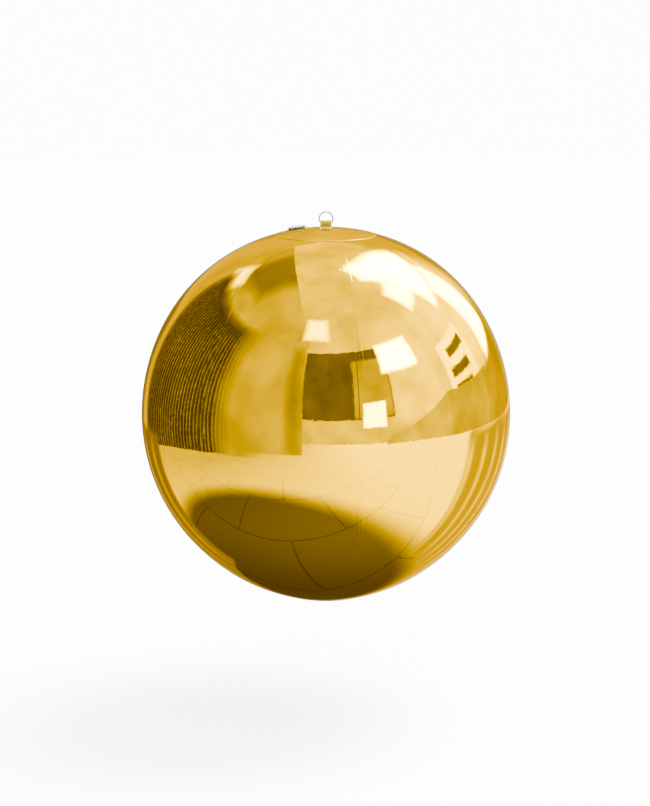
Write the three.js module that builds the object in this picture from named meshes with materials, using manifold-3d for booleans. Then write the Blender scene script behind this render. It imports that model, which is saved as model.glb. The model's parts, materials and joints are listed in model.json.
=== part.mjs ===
// An inflatable mirror ball: metallised film gores welded into a ball of air, hung from a D-ring.
// Units are millimetres. +Z is up, and the origin is where a hook bears inside the ring.
// An azimuth runs from -Y towards +X. A polar angle runs from the top of the ball to its bottom.
import * as THREE from "three";
import { mergeVertices } from "three/addons/utils/BufferGeometryUtils.js";
import Module from "manifold-3d";

const wasm = await Module();
wasm.setup();

const DEGREE = Math.PI / 180;
const GAP = 0.3; // clearance that touching pieces keep

// Inflated film
const EQUATOR_RADIUS = 500;
const POLE_HEIGHT = 508; // from the centre to either pole
const FULLNESS = 0.006; // the upper half is this much fuller all over
const SHOULDER = 0.034; // and this much more towards the pole
const FILM = 0.4;
const GORES = 7;
const FIRST_SEAM = 11 * DEGREE;
const COLUMNS = 5; // facets across a gore
const ROWS = 18; // facets between the two discs' edges
const GORE_END = 13.2 * DEGREE; // polar angle where a gore stops, under the disc
const DISC_EDGE = 15.5 * DEGREE; // polar angle of a disc's edge
const DISC_ROWS = [4 * DEGREE, 8 * DEGREE];
const TAPE_WIDTH = 18;

// Ring and tab
const WIRE = 3.6;
const RING_INNER_WIDTH = 33;
const RING_INNER_HEIGHT = 21.5;
const RING_CORNER = 3;
const TAB_WIDTH = 32;
const TAB_STRAP = 0.9;
const TAB_HEIGHT = 20.6; // above the disc
const TAB_LOOP = WIRE / 2 + 0.5; // inner radius round the bar
const FOOT_LENGTH = 24;
const STITCH_BOX = { width: 24, height: 7, drop: 8.8, thread: 0.6 };

// Valve, along its own axis: its zero is the outer face of the disc
const VALVE_POLAR = 10.3 * DEGREE;
const VALVE_AZIMUTH = -122 * DEGREE;
const FLANGE_RADIUS = 29;
const NECK_RADIUS = 19;
const NECK_DEPTH = 10;
const SOCKET_RADIUS = 17;
const COLLAR = { radius: 21.5, top: 3, seatRadius: 18.6, seatFloor: 1.1 };
const CORE = { radius: 16.4, bore: 12.5, rimTop: 4.6, bottom: -11.5, spoke: 2 };
const SEAL_WIRE = 1.5;
const FLAP = { radius: 14.8, thickness: 0.8, travel: 2 };
const PEG_RADIUS = 1.5;
const GASKET = { inner: 13.5, outer: 19.5, thickness: 0.7 };
const CAP = { radius: 25, under: 5.9, rim: 6.7, top: 8.2, plug: 11.6, plugBottom: -1, wall: 1.6 };
const HINGE_REACH = 27.4;
const HINGE_WIDTH = 10;
const TURNED = 24; // facets round the valve's turned pieces

// Worked out from the sizes above
const GORE_ANGLE = (2 * Math.PI) / GORES;
const COLUMN_ANGLE = GORE_ANGLE / COLUMNS;
const BAR_Z = -(RING_INNER_HEIGHT + WIRE / 2);
const TAB_TOP = BAR_Z + TAB_LOOP + TAB_STRAP;
const DISC_TOP = TAB_TOP - TAB_HEIGHT;
const CENTRE_Z = DISC_TOP - FILM - GAP - POLE_HEIGHT;

const part = new THREE.Group();

const gold = { color: 0xd8a02a, roughness: 0.08, metalness: 1 };
const tapeGold = { color: 0xc79a3a, roughness: 0.4, metalness: 0.6 };
const thread = { color: 0x5a4418, roughness: 0.8, metalness: 0 };
const steel = { color: 0xb4b6b8, roughness: 0.3, metalness: 1 };
const clearVinyl = { color: 0xdfe7ea, roughness: 0.25, metalness: 0 };
const paleVinyl = { color: 0xe9ecea, roughness: 0.35, metalness: 0 };
const silicone = { color: 0xc9ccc8, roughness: 0.5, metalness: 0 };

function add(name, geometry, look, group = part) {
  const mesh = new THREE.Mesh(geometry, new THREE.MeshStandardMaterial(look));
  mesh.name = name;
  group.add(mesh);
  return mesh;
}

// ---- The inflated shape ----

/** Radius and height of the ball's outer surface at a polar angle, moved out by offset. */
function profile(polar, offset) {
  const bare = (angle) => {
    const height = Math.cos(angle);
    const swell = 1 + FULLNESS * height + SHOULDER * height ** 3;
    return new THREE.Vector2(EQUATOR_RADIUS * Math.sin(angle) * swell, POLE_HEIGHT * height);
  };
  const step = 0.001;
  const along = bare(polar + step).sub(bare(polar - step)).normalize();
  const outward = new THREE.Vector2(-along.y, along.x);
  return bare(polar).addScaledVector(outward, offset);
}

/** How far in a flat facet lies at an azimuth, as a share of the radius of its corners. */
function facetShare(azimuth) {
  const turn = THREE.MathUtils.euclideanModulo(azimuth - FIRST_SEAM, COLUMN_ANGLE);
  return Math.cos(COLUMN_ANGLE / 2) / Math.cos(turn - COLUMN_ANGLE / 2);
}

/** A point on the faceted ball. */
function onBall(polar, azimuth, offset) {
  const { x: radius, y: height } = profile(polar, offset);
  const reach = radius * facetShare(azimuth);
  return [reach * Math.sin(azimuth), -reach * Math.cos(azimuth), CENTRE_Z + height];
}

/** A closed thin plate: place(row, column, side) gives its points, side 0 outside and 1 inside. */
function plate(rows, columns, place) {
  const points = [];
  for (const side of [0, 1]) {
    for (let row = 0; row <= rows; row += 1) {
      for (let column = 0; column <= columns; column += 1) {
        points.push(...place(row, column, side));
      }
    }
  }
  const at = (row, column, side) => (side * (rows + 1) + row) * (columns + 1) + column;
  const faces = [];
  const quad = (a, b, c, d) => faces.push(a, b, c, a, c, d);
  for (let row = 0; row < rows; row += 1) {
    for (let column = 0; column < columns; column += 1) {
      const [down, right] = [row + 1, column + 1];
      quad(at(row, column, 0), at(down, column, 0), at(down, right, 0), at(row, right, 0));
      quad(at(row, column, 1), at(row, right, 1), at(down, right, 1), at(down, column, 1));
    }
    const [down, end] = [row + 1, columns];
    quad(at(row, 0, 1), at(down, 0, 1), at(down, 0, 0), at(row, 0, 0));
    quad(at(row, end, 0), at(down, end, 0), at(down, end, 1), at(row, end, 1));
  }
  for (let column = 0; column < columns; column += 1) {
    const [right, end] = [column + 1, rows];
    quad(at(0, column, 0), at(0, right, 0), at(0, right, 1), at(0, column, 1));
    quad(at(end, column, 1), at(end, right, 1), at(end, right, 0), at(end, column, 0));
  }
  const geometry = new THREE.BufferGeometry();
  geometry.setAttribute("position", new THREE.Float32BufferAttribute(points, 3));
  geometry.setIndex(faces);
  return geometry;
}

// ---- Solids ----

/** A turned solid about Z, its facets starting at an azimuth. */
function turned(points, facets, start = 0) {
  const profilePoints = points.map(([radius, height]) => new THREE.Vector2(radius, height));
  return new THREE.LatheGeometry(profilePoints, facets, start).rotateX(Math.PI / 2);
}

/** The manifold solid of a closed three.js geometry. */
function solidOf(geometry) {
  const bare = geometry.clone();
  bare.deleteAttribute("normal");
  bare.deleteAttribute("uv");
  const merged = mergeVertices(bare);
  const corners = merged.index.array;
  const triVerts = [];
  for (let i = 0; i < corners.length; i += 3) {
    const [a, b, c] = corners.slice(i, i + 3);
    if (a !== b && b !== c && c !== a) triVerts.push(a, b, c);
  }
  return new wasm.Manifold(
    new wasm.Mesh({
      numProp: 3,
      vertProperties: new Float32Array(merged.attributes.position.array),
      triVerts: new Uint32Array(triVerts),
    }),
  );
}

/** The three.js geometry of a manifold solid. */
function geometryOf(solid) {
  const mesh = solid.getMesh();
  const geometry = new THREE.BufferGeometry();
  geometry.setAttribute("position", new THREE.BufferAttribute(mesh.vertProperties, 3));
  geometry.setIndex(new THREE.BufferAttribute(mesh.triVerts, 1));
  return geometry;
}

/** A box from its low corner to its high corner. */
function box([x0, y0, z0], [x1, y1, z1]) {
  const geometry = new THREE.BoxGeometry(x1 - x0, y1 - y0, z1 - z0);
  return geometry.translate((x0 + x1) / 2, (y0 + y1) / 2, (z0 + z1) / 2);
}

/** A bar of square-cut round stock along Z. */
function rod(radius, low, high, facets) {
  const points = [
    [0, low],
    [radius, low],
    [radius, high],
    [0, high],
  ];
  return turned(points, facets);
}

// ---- Envelope ----

/** The polar angles of the gores' rows of facets, the discs' edges among them. */
function goreRows() {
  const step = (Math.PI - 2 * DISC_EDGE) / ROWS;
  const between = Array.from({ length: ROWS + 1 }, (_, row) => DISC_EDGE + row * step);
  return [GORE_END, ...between, Math.PI - GORE_END];
}

/** A gore from disc to disc, its long edges half a gap short of the seam. */
function gore(firstAzimuth) {
  const rows = goreRows();
  return plate(rows.length - 1, COLUMNS, (row, column, side) => {
    const trim = GAP / 2 / profile(rows[row], 0).x;
    let azimuth = firstAzimuth + column * COLUMN_ANGLE;
    if (column === 0) azimuth += trim;
    if (column === COLUMNS) azimuth -= trim;
    return onBall(rows[row], azimuth, side * -FILM);
  });
}

/** The weld tape that backs a seam inside the ball. */
function seamTape(azimuth) {
  const rows = goreRows();
  return plate(rows.length - 1, 2, (row, column, side) => {
    const halfTurn = TAPE_WIDTH / 2 / profile(rows[row], 0).x;
    return onBall(rows[row], azimuth + (column - 1) * halfTurn, -FILM - GAP - side * FILM);
  });
}

/** The round film that closes a pole, lying over the ends of the gores. */
function capDisc(pole) {
  const angles = [0, ...DISC_ROWS, GORE_END, DISC_EDGE];
  const side = (offset) =>
    angles.map((angle) => {
      const { x, y } = profile(pole === "top" ? angle : Math.PI - angle, offset);
      return [Math.max(x, 0), CENTRE_Z + y];
    });
  const inner = side(GAP);
  const outer = side(GAP + FILM);
  const points = pole === "top" ? [...inner, ...outer.reverse()] : [...outer, ...inner.reverse()];
  points[0][0] = 0;
  points[points.length - 1][0] = 0;
  return turned(points, GORES * COLUMNS, FIRST_SEAM);
}

for (let i = 0; i < GORES; i += 1) {
  const azimuth = FIRST_SEAM + i * GORE_ANGLE;
  add(`gore_panel_${i + 1}`, gore(azimuth), gold);
  add(`seam_tape_${i + 1}`, seamTape(azimuth), tapeGold);
}
add("bottom_cap_disc", capDisc("bottom"), gold);

// ---- Ring and tab ----

/** A flat path stood up in the XZ plane. */
class UprightCurve extends THREE.Curve {
  constructor(path) {
    super();
    this.path = path;
  }

  getPoint(t) {
    const { x, y } = this.path.getPoint(t);
    return new THREE.Vector3(x, 0, y);
  }
}

/** Bent wire, its two ends meeting inside the fold of the tab. */
function dRing() {
  const half = (RING_INNER_WIDTH + WIRE) / 2;
  const archZ = WIRE / 2 - half;
  const corner = BAR_Z + RING_CORNER;
  const inset = half - RING_CORNER;
  const path = new THREE.Path();
  path.moveTo(GAP / 2, BAR_Z);
  path.lineTo(inset, BAR_Z);
  path.absarc(inset, corner, RING_CORNER, -Math.PI / 2, 0, false);
  path.lineTo(half, archZ);
  path.absarc(0, archZ, half, 0, Math.PI, false);
  path.lineTo(-half, corner);
  path.absarc(-inset, corner, RING_CORNER, Math.PI, 1.5 * Math.PI, false);
  path.lineTo(-GAP / 2, BAR_Z);
  const section = new THREE.Shape();
  section.absarc(0, 0, WIRE / 2, 0, 2 * Math.PI, false);
  const extrudePath = new UprightCurve(path);
  return new THREE.ExtrudeGeometry(section, { steps: 44, curveSegments: 4, extrudePath });
}

/** Middle line of one half of the strap in the YZ plane, from the foot's end to the loop's top. */
function strapHalf() {
  const slope = (profile(0, 0).y - profile(DISC_ROWS[0], 0).y) / profile(DISC_ROWS[0], 0).x;
  const legY = (GAP + TAB_STRAP) / 2;
  const bend = 2.4;
  const footZ = (y) => DISC_TOP + GAP + TAB_STRAP / 2 - slope * y;
  const loop = TAB_LOOP + TAB_STRAP / 2;
  const points = [
    new THREE.Vector2(FOOT_LENGTH, footZ(FOOT_LENGTH)),
    new THREE.Vector2(legY + bend, footZ(legY + bend)),
    new THREE.Vector2(legY + bend / 3, footZ(0) + bend / 3),
    new THREE.Vector2(legY, footZ(0) + bend),
    new THREE.Vector2(legY, BAR_Z - 5),
  ];
  for (let angle = 50; angle <= 180; angle += 26) {
    const turn = angle * DEGREE;
    points.push(new THREE.Vector2(loop * Math.sin(turn), BAR_Z - loop * Math.cos(turn)));
  }
  return points;
}

/** Flat webbing: two feet on the disc, two legs side by side and a loop round the ring's bar. */
function hangTab() {
  const half = strapHalf();
  const other = half.slice(0, -1).map(({ x, y }) => new THREE.Vector2(-x, y));
  const line = [...half, ...other.reverse()];
  const offset = (amount) =>
    line.map((point, i) => {
      const before = line[Math.max(i - 1, 0)];
      const after = line[Math.min(i + 1, line.length - 1)];
      const along = after.clone().sub(before).normalize();
      return new THREE.Vector2(point.x + along.y * amount, point.y - along.x * amount);
    });
  const outline = [...offset(TAB_STRAP / 2), ...offset(-TAB_STRAP / 2).reverse()];
  const settings = { depth: TAB_WIDTH, bevelEnabled: false };
  const geometry = new THREE.ExtrudeGeometry(new THREE.Shape(outline), settings);
  return standUp(geometry.translate(0, 0, -TAB_WIDTH / 2));
}

/** Turns a shape drawn in (Y, Z) and extruded along its own third axis so that this axis is X. */
function standUp(geometry) {
  const [x, y, z] = [new THREE.Vector3(1, 0, 0), new THREE.Vector3(0, 1, 0), new THREE.Vector3(0, 0, 1)];
  return geometry.applyMatrix4(new THREE.Matrix4().makeBasis(y, z, x));
}

/** A box of stitches on one face of the tab: side -1 is the front and 1 the back. */
function stitchBox(side) {
  const { width, height, drop, thread: thick } = STITCH_BOX;
  const top = TAB_TOP - drop;
  const y = side * (GAP / 2 + TAB_STRAP + GAP + thick / 2);
  const outer = box([-width / 2, y - thick / 2, top - height], [width / 2, y + thick / 2, top]);
  const inside = box(
    [-width / 2 + thick, y - thick, top - height + thick],
    [width / 2 - thick, y + thick, top - thick],
  );
  return geometryOf(solidOf(outer).subtract(solidOf(inside)));
}

add("d_ring", dRing(), steel);
add("hang_tab", hangTab(), gold);
add("tab_stitch_front", stitchBox(-1), thread);
add("tab_stitch_back", stitchBox(1), thread);

// ---- Valve ----

/** The frame of the valve: Z out along its axis and X downhill, away from the pole. */
function valveGroup() {
  const height = (polar) => profile(polar, GAP + FILM);
  const { x, y } = height(VALVE_POLAR);
  const slope = profile(VALVE_POLAR, GAP + FILM + 1).sub(height(VALVE_POLAR));
  const away = new THREE.Vector3(Math.sin(VALVE_AZIMUTH), -Math.cos(VALVE_AZIMUTH), 0);
  const axis = away.clone().multiplyScalar(slope.x).add(new THREE.Vector3(0, 0, slope.y));
  axis.normalize();
  const side = new THREE.Vector3().crossVectors(axis, away).normalize();
  const downhill = new THREE.Vector3().crossVectors(side, axis);
  const group = new THREE.Group();
  group.quaternion.setFromRotationMatrix(new THREE.Matrix4().makeBasis(downhill, side, axis));
  group.position.copy(away.multiplyScalar(x)).setZ(CENTRE_Z + y);
  group.updateMatrixWorld();
  return group;
}

const valve = valveGroup();
part.add(valve);

/** The top disc, with a hole where the neck of the valve goes through. */
function topDisc() {
  const hole = rod(NECK_RADIUS + GAP, -NECK_DEPTH, NECK_DEPTH, TURNED).applyMatrix4(valve.matrixWorld);
  return geometryOf(solidOf(capDisc("top")).subtract(solidOf(hole)));
}

/** Flange welded to the disc, a collar above it and a neck that reaches into the ball. */
function valveBase() {
  const points = [
    [SOCKET_RADIUS, -NECK_DEPTH],
    [NECK_RADIUS, -NECK_DEPTH],
    [NECK_RADIUS, GAP],
    [FLANGE_RADIUS, -GAP],
    [FLANGE_RADIUS, GAP],
    [COLLAR.radius + 1, 1.3],
    [COLLAR.radius, COLLAR.top],
    [COLLAR.seatRadius, COLLAR.top],
    [COLLAR.seatRadius, COLLAR.seatFloor],
    [SOCKET_RADIUS, COLLAR.seatFloor],
    [SOCKET_RADIUS, -NECK_DEPTH],
  ];
  return turned(points, TURNED);
}

/** O-ring that sits in the collar, under the rim of the core. */
function coreSeal() {
  const radius = SEAL_WIRE / 2;
  const middle = CORE.radius + GAP + radius;
  const height = COLLAR.top - radius;
  const points = [];
  for (let i = 0; i <= 6; i += 1) {
    const turn = (i * Math.PI) / 3;
    points.push([middle + radius * Math.cos(turn), height + radius * Math.sin(turn)]);
  }
  return turned(points, TURNED);
}

/** Tube with a rim above and a spider below, whose hub holds the flap's peg. */
function valveCore() {
  const { radius, bore, rimTop, bottom, spoke } = CORE;
  const rimUnder = COLLAR.top + GAP;
  const points = [
    [bore, bottom],
    [radius, bottom],
    [radius, rimUnder],
    [COLLAR.radius, rimUnder],
    [COLLAR.radius, rimTop - 0.4],
    [COLLAR.radius - 0.4, rimTop],
    [bore, rimTop],
    [bore, bottom],
  ];
  let core = solidOf(turned(points, TURNED));
  core = core.add(solidOf(rod(PEG_RADIUS * 3, bottom, bottom + spoke, TURNED / 2)));
  for (const turn of [0, 60, 120]) {
    const bar = box([-bore - 1, -spoke / 2, bottom], [bore + 1, spoke / 2, bottom + spoke]);
    core = core.add(solidOf(bar.rotateZ(turn * DEGREE)));
  }
  return geometryOf(core.subtract(solidOf(rod(PEG_RADIUS + GAP, bottom - 1, 0, TURNED / 2))));
}

/** Thin disc that air pressure holds against the core's lower face. */
function checkFlap() {
  const top = CORE.bottom - GAP;
  const under = top - FLAP.thickness;
  const hole = PEG_RADIUS + GAP;
  const points = [
    [hole, under],
    [FLAP.radius, under],
    [FLAP.radius, top],
    [hole, top],
    [hole, under],
  ];
  return turned(points, TURNED);
}

/** Peg with a head at each end: one above the hub, one below the flap at the end of its travel. */
function flapPeg() {
  const hubTop = CORE.bottom + CORE.spoke + GAP;
  const under = CORE.bottom - GAP - FLAP.thickness - FLAP.travel - GAP;
  const head = PEG_RADIUS * 2;
  const points = [
    [0, under - 1],
    [head, under - 1],
    [head, under],
    [PEG_RADIUS, under],
    [PEG_RADIUS, hubTop],
    [head, hubTop],
    [head, hubTop + 1],
    [0, hubTop + 1],
  ];
  return turned(points, TURNED / 2);
}

/** Soft ring round the core's rim with a tongue that reaches the cap's hinge. */
function capTether() {
  const inner = COLLAR.radius + GAP;
  const outer = inner + 1.8;
  const [under, top] = [COLLAR.top + 0.2, COLLAR.top + 1.3];
  const points = [
    [inner, under],
    [outer, under],
    [outer, top],
    [inner, top],
    [inner, under],
  ];
  const half = HINGE_WIDTH / 2;
  const tongue = box([outer - 0.6, -half, under], [HINGE_REACH - GAP, half, top]);
  return geometryOf(solidOf(turned(points, TURNED)).add(solidOf(tongue)));
}

/** Flat ring under the cap that seals it on the core's rim. */
function capGasket() {
  const top = CAP.under - GAP;
  const under = top - GASKET.thickness;
  const points = [
    [GASKET.inner, under],
    [GASKET.outer, under],
    [GASKET.outer, top],
    [GASKET.inner, top],
    [GASKET.inner, under],
  ];
  return turned(points, TURNED);
}

/** Low domed lid with a hollow plug, an ear at the hinge and a pull tab across from it. */
function valveCap() {
  const { radius, under, rim, top, plug, plugBottom, wall } = CAP;
  const points = [
    [0, under],
    [plug - wall, under],
    [plug - wall - 0.3, plugBottom],
    [plug - 0.3, plugBottom],
    [plug, under],
    [radius, under],
    [radius, rim],
    [radius * 0.72, top - 0.35],
    [0, top],
  ];
  const half = HINGE_WIDTH / 2;
  const ear = box([radius - 2, -half, under], [HINGE_REACH - GAP, half, rim]);
  const pull = box([-radius - 4, -half, under], [-radius + 2, half, rim]);
  return geometryOf(solidOf(turned(points, TURNED)).add(solidOf(ear)).add(solidOf(pull)));
}

add("top_cap_disc", topDisc(), gold);
add("valve_base", valveBase(), clearVinyl, valve);
add("core_seal", coreSeal(), silicone, valve);
add("valve_core", valveCore(), paleVinyl, valve);
add("check_flap", checkFlap(), silicone, valve);
add("flap_peg", flapPeg(), paleVinyl, valve);
add("cap_tether", capTether(), clearVinyl, valve);
add("cap_gasket", capGasket(), silicone, valve);
add("valve_cap", valveCap(), clearVinyl, valve);

export default part;
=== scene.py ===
"""An inflated ball of gold mirror film that hangs from a D-ring, in a pale studio.

Only reflections see the studio's cards, strips, ceiling and slabs.
"""

import json
import math

import bmesh
import bpy
import numpy as np
from mathutils import Matrix, Vector


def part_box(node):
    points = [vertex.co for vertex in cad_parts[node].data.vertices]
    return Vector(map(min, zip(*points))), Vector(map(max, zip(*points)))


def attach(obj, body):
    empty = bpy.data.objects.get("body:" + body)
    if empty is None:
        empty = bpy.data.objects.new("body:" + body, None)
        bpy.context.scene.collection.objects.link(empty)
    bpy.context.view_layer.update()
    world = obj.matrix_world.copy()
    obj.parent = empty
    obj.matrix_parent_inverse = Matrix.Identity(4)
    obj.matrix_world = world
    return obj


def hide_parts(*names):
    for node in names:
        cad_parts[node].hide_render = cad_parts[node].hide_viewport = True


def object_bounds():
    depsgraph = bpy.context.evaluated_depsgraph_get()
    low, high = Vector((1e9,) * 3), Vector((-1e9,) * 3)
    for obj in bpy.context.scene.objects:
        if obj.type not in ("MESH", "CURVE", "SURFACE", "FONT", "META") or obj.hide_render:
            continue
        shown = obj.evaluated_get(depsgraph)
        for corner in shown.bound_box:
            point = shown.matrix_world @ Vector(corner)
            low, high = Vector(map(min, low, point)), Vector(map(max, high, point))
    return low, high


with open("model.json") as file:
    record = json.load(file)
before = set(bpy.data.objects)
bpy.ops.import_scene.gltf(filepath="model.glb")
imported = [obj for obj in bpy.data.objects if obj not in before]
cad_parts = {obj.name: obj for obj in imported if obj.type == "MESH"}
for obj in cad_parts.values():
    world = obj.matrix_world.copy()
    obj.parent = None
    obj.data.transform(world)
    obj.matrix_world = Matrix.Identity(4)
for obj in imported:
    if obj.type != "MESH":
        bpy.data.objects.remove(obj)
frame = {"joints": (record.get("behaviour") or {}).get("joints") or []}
cad_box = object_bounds()
scene = bpy.context.scene

MM = 0.001

# ---- Camera ----

LOOK_DOWN = math.radians(10.8)
CAMERA_DISTANCE = 7.0
FRAME_HEIGHT = 2.19  # metres of view at the ball, over the long side of the frame
AIM_ABOVE = 0.03  # the view is centred this far above the middle of the ball
SENSOR = 36.0
SHIFT = -0.0012

# ---- The inflated shape, as in the CAD model ----

EQUATOR_RADIUS = 500 * MM
POLE_HEIGHT = 508 * MM
FULLNESS = 0.006
SHOULDER = 0.034
FILM = 0.4 * MM
GAP = 0.3 * MM
GORES = 7
FIRST_SEAM = math.radians(11)
GORE_ANGLE = 2 * math.pi / GORES
GORE_END = math.radians(13.2)
DISC_EDGE = math.radians(15.5)
TAPE_WIDTH = 18 * MM

bar_z = -23.3 * MM  # middle of the ring's straight bar
disc_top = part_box("top_cap_disc")[1].z
centre_z = disc_top - FILM - GAP - POLE_HEIGHT

# ---- Fine shape of the film ----

SEAM_DIP = 0.16 * MM  # a seam lies this far below the film beside it
SEAM_SPREAD = 34 * MM
WELD_RISE = 0.12 * MM  # the film stands up over the tape behind it
WELD_EDGE = 1.6 * MM
PUCKER = 0.02 * MM  # small waves that the weld pulls into the film
PUCKER_SPREAD = 26 * MM
PINCH = 0.07 * MM  # radial wrinkles outside a disc's edge
PINCH_REACH = 38 * MM
PINCHES = 71
SOFT_WAVES = 0.2 * MM  # broad unevenness of the whole film


def camera():
    """The camera, a little above the ball's middle and far away."""
    data = bpy.data.cameras.new("camera")
    data.sensor_width = SENSOR
    data.lens = SENSOR * CAMERA_DISTANCE / FRAME_HEIGHT
    data.clip_end = 100
    made = bpy.data.objects.new("camera", data)
    scene.collection.objects.link(made)
    back = Vector((0, -math.cos(LOOK_DOWN), math.sin(LOOK_DOWN)))
    up = Vector((0, math.sin(LOOK_DOWN), math.cos(LOOK_DOWN)))
    made.location = Vector((0, 0, centre_z)) + up * AIM_ABOVE + back * CAMERA_DISTANCE
    made.rotation_mode = "QUATERNION"
    made.rotation_quaternion = (-back).to_track_quat("-Z", "Y")
    data.shift_x = SHIFT
    scene.camera = made


camera()


# ---- Materials ----


class Shader:
    """A material being built: its nodes, its links and its Principled shader."""

    def __init__(self, name):
        self.material = bpy.data.materials.new(name)
        self.material.use_nodes = True
        self.tree = self.material.node_tree
        self.principled = self.tree.nodes["Principled BSDF"]
        self.place = self.node("ShaderNodeTexCoord").outputs["Object"]

    def node(self, kind, **settings):
        made = self.tree.nodes.new(kind)
        for key, value in settings.items():
            setattr(made, key, value)
        return made

    def link(self, source, target):
        self.tree.links.new(source, target)

    def set(self, **values):
        """Constant values on the shader's own sockets, by their names with _ for a space."""
        for key, value in values.items():
            self.principled.inputs[key.replace("_", " ")].default_value = value
        return self

    def stretched(self, scale):
        """Object coordinates scaled along each axis."""
        made = self.node("ShaderNodeMapping")
        made.inputs["Scale"].default_value = scale
        self.link(self.place, made.inputs["Vector"])
        return made.outputs["Vector"]

    def noise(self, scale, detail=2.0, distortion=0.0, place=None):
        made = self.node("ShaderNodeTexNoise")
        made.inputs["Scale"].default_value = scale
        made.inputs["Detail"].default_value = detail
        made.inputs["Distortion"].default_value = distortion
        self.link(place or self.place, made.inputs["Vector"])
        return made.outputs["Fac"]

    def ramp(self, fac, low, high):
        """Maps fac from one (place, value) to another."""
        made = self.node("ShaderNodeMapRange", interpolation_type="SMOOTHSTEP")
        made.inputs["From Min"].default_value = low[0]
        made.inputs["From Max"].default_value = high[0]
        made.inputs["To Min"].default_value = low[1]
        made.inputs["To Max"].default_value = high[1]
        self.link(fac, made.inputs["Value"])
        return made.outputs["Result"]

    def colours(self, fac, first, second):
        """Base colour that runs from one colour to another."""
        made = self.node("ShaderNodeMix", data_type="RGBA")
        made.inputs[6].default_value = (*first, 1)
        made.inputs[7].default_value = (*second, 1)
        self.link(fac, made.inputs[0])
        self.link(made.outputs[2], self.principled.inputs["Base Color"])
        return self

    def roughness(self, fac, low, high):
        self.link(self.ramp(fac, (0.3, low), (0.7, high)), self.principled.inputs["Roughness"])
        return self

    def bump(self, *layers):
        """Bump from (height, depth in metres) layers, the first one lowest."""
        normal = None
        for height, depth in layers:
            made = self.node("ShaderNodeBump")
            made.inputs["Strength"].default_value = 1.0
            made.inputs["Distance"].default_value = depth
            self.link(height, made.inputs["Height"])
            if normal:
                self.link(normal, made.inputs["Normal"])
            normal = made.outputs["Normal"]
        self.link(normal, self.principled.inputs["Normal"])
        return self


GOLD = (0.98, 0.605, 0.02)
DEEP_GOLD = (0.93, 0.565, 0.015)


def gold_film(name, smooth, rough):
    """Metallised vinyl: a mirror with orange peel, soft swirls and smudges."""
    made = Shader(name).set(Metallic=1.0, Coat_Weight=0.12, Coat_Roughness=0.03)
    made.set(Specular_Tint=(1, 0.75, 0.2, 1))
    made.colours(made.noise(7, 3), DEEP_GOLD, GOLD)
    made.roughness(made.noise(11, 4, 0.6), smooth, rough)
    swirls = made.noise(24, 2, 2.2)
    peel = made.noise(95, 2, 1.2)
    return made.bump((swirls, 0.07 * MM), (peel, 0.01 * MM)).material


def strap_webbing():
    """Film webbing: satin gold with a fine crosswise grain and worn high spots."""
    made = Shader("gold_strap").set(Metallic=0.1, Specular_IOR_Level=0.25)
    made.colours(made.noise(130, 3), (0.6, 0.43, 0.07), (0.74, 0.55, 0.12))
    made.roughness(made.noise(300, 3), 0.3, 0.5)
    grain = made.noise(500, 2, 0, made.stretched((0.25, 1, 1.6)))
    return made.bump((made.noise(60, 2), 0.5 * MM), (grain, 0.12 * MM)).material


def weld_tape():
    """The uncoated back of the film and its tape."""
    made = Shader("weld_tape").set(Metallic=0.3, Coat_Weight=0.1)
    made.colours(made.noise(40), (0.62, 0.42, 0.1), (0.7, 0.5, 0.16))
    made.roughness(made.noise(90), 0.35, 0.5)
    return made.bump((made.noise(700, 2), 0.04 * MM)).material


def sewing_thread():
    """Twisted polyester."""
    made = Shader("thread").set(Sheen_Weight=0.3)
    made.colours(made.noise(900), (0.05, 0.03, 0.01), (0.1, 0.06, 0.02))
    made.roughness(made.noise(1200), 0.6, 0.8)
    return made.bump((made.noise(2600, 2, 1.5), 0.08 * MM)).material


def ring_steel():
    """Dull nickel plate on drawn wire, with fine scuffs."""
    made = Shader("ring_steel").set(Metallic=1.0)
    made.colours(made.noise(160, 3), (0.06, 0.061, 0.064), (0.11, 0.112, 0.116))
    made.roughness(made.noise(420, 4), 0.26, 0.44)
    scuffs = made.noise(300, 4, 0, made.stretched((1, 6, 6)))
    return made.bump((scuffs, 0.05 * MM)).material


def vinyl(name, first, second, clear, low, high):
    """Moulded vinyl, cloudy where it isn't clear, with a fine mould texture."""
    made = Shader(name).set(Transmission_Weight=clear, IOR=1.53, Coat_Weight=0.15, Coat_Roughness=0.1)
    made.colours(made.noise(120, 3), first, second)
    made.roughness(made.noise(240, 3), low, high)
    return made.bump((made.noise(900, 2), 0.03 * MM)).material


FILM_LOOK = gold_film("gold_film", 0.01, 0.04)
DISC_LOOK = gold_film("gold_disc", 0.16, 0.26)
STRAP_LOOK = strap_webbing()
TAPE_LOOK = weld_tape()
THREAD_LOOK = sewing_thread()
STEEL_LOOK = ring_steel()
CLEAR_LOOK = vinyl("clear_vinyl", (0.52, 0.58, 0.64), (0.66, 0.72, 0.78), 0.25, 0.14, 0.3)
# Dark grey vinyl for the valve's flange: painted shade, standing in for the shadow on the flange's edge
# below the lid.
PAINTED_SHADE_VINYL = vinyl("painted_shade_vinyl", (0.13, 0.16, 0.19), (0.22, 0.26, 0.3), 0.1, 0.2, 0.36)
PALE_LOOK = vinyl("pale_vinyl", (0.5, 0.52, 0.52), (0.62, 0.63, 0.62), 0.0, 0.25, 0.4)
SILICONE_LOOK = vinyl("silicone", (0.36, 0.38, 0.37), (0.46, 0.47, 0.45), 0.2, 0.35, 0.5)


# ---- Mesh building ----


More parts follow.
